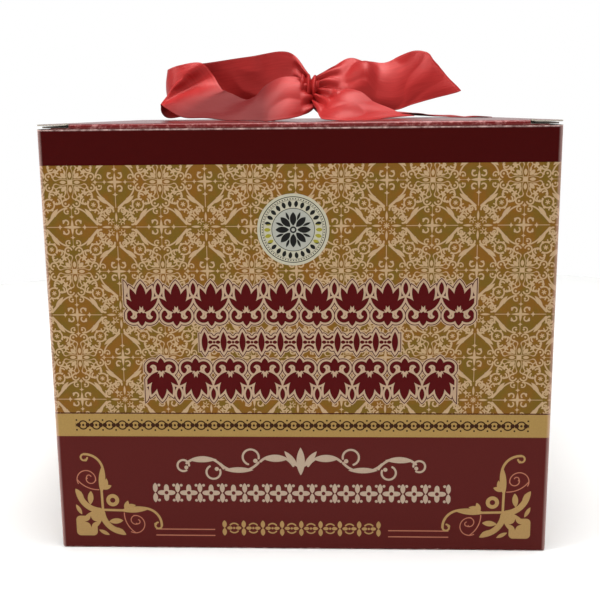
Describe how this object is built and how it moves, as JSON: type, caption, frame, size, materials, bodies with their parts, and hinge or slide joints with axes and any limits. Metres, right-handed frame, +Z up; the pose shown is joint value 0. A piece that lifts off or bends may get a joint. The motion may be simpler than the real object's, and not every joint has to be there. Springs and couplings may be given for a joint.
{
  "type": "panettone gift box",
  "caption": "Folding paperboard gift carton with a hinged tuck lid and a satin ribbon bow, holding a bagged panettone in its paper mould.",
  "frame": {"origin": "centre of the carton's base, on the surface it stands on", "axes": "+Z up, -Y out of the printed front panel, +X to the right of someone facing the front"},
  "size_m": [0.2, 0.2, 0.207],
  "materials": {
    "printed_board": "satin",
    "maroon_board": "gloss",
    "raw_board": "matte",
    "satin_ribbon": "satin",
    "baked_crust": "matte",
    "baking_paper": "matte",
    "clear_film": "gloss",
    "gold_tie": "satin"
  },
  "bodies": {
    "carton": {"front_panel": "printed_board", "back_panel": "printed_board", "left_panel": "printed_board", "right_panel": "printed_board", "glue_flap": "raw_board", "bottom_front_flap": "raw_board", "bottom_left_flap": "raw_board", "bottom_right_flap": "raw_board", "bottom_rear_flap": "raw_board", "panettone_loaf": "baked_crust", "baking_mould": "baking_paper", "clear_bag": "clear_film", "twist_tie": "gold_tie"},
    "lid": {"lid_panel": "maroon_board", "ribbon_strap": "satin_ribbon", "bow_knot": "satin_ribbon", "bow_left_loop": "satin_ribbon", "bow_right_loop": "satin_ribbon", "bow_front_tail": "satin_ribbon", "bow_rear_tail": "satin_ribbon"},
    "tuck": {"tuck_flap": "maroon_board"},
    "left_dust": {"left_dust_flap": "raw_board"},
    "right_dust": {"right_dust_flap": "raw_board"}
  },
  "joints": [
    {"name": "lid_hinge", "type": "hinge", "parent": "carton", "child": "lid", "pos_m": [0, 0.1, 0.17325], "axis": [-1, 0, 0], "range_deg": [0, 180]},
    {"name": "tuck_crease", "type": "hinge", "parent": "lid", "child": "tuck", "pos_m": [0, -0.0991, 0.17325], "axis": [-1, 0, 0], "range_deg": [0, 45]},
    {"name": "left_dust_crease", "type": "hinge", "parent": "carton", "child": "left_dust", "pos_m": [-0.0997, 0, 0.17235], "axis": [0, -1, 0], "range_deg": [0, 90]},
    {"name": "right_dust_crease", "type": "hinge", "parent": "carton", "child": "right_dust", "pos_m": [0.0997, 0, 0.17235], "axis": [0, 1, 0], "range_deg": [0, 90]}
  ],
  "couplings": [
    {"joint": "tuck_crease", "follows": "lid_hinge", "ratio": 0.25},
    {"joint": "left_dust_crease", "follows": "lid_hinge", "ratio": 0.5},
    {"joint": "right_dust_crease", "follows": "lid_hinge", "ratio": 0.5}
  ]
}
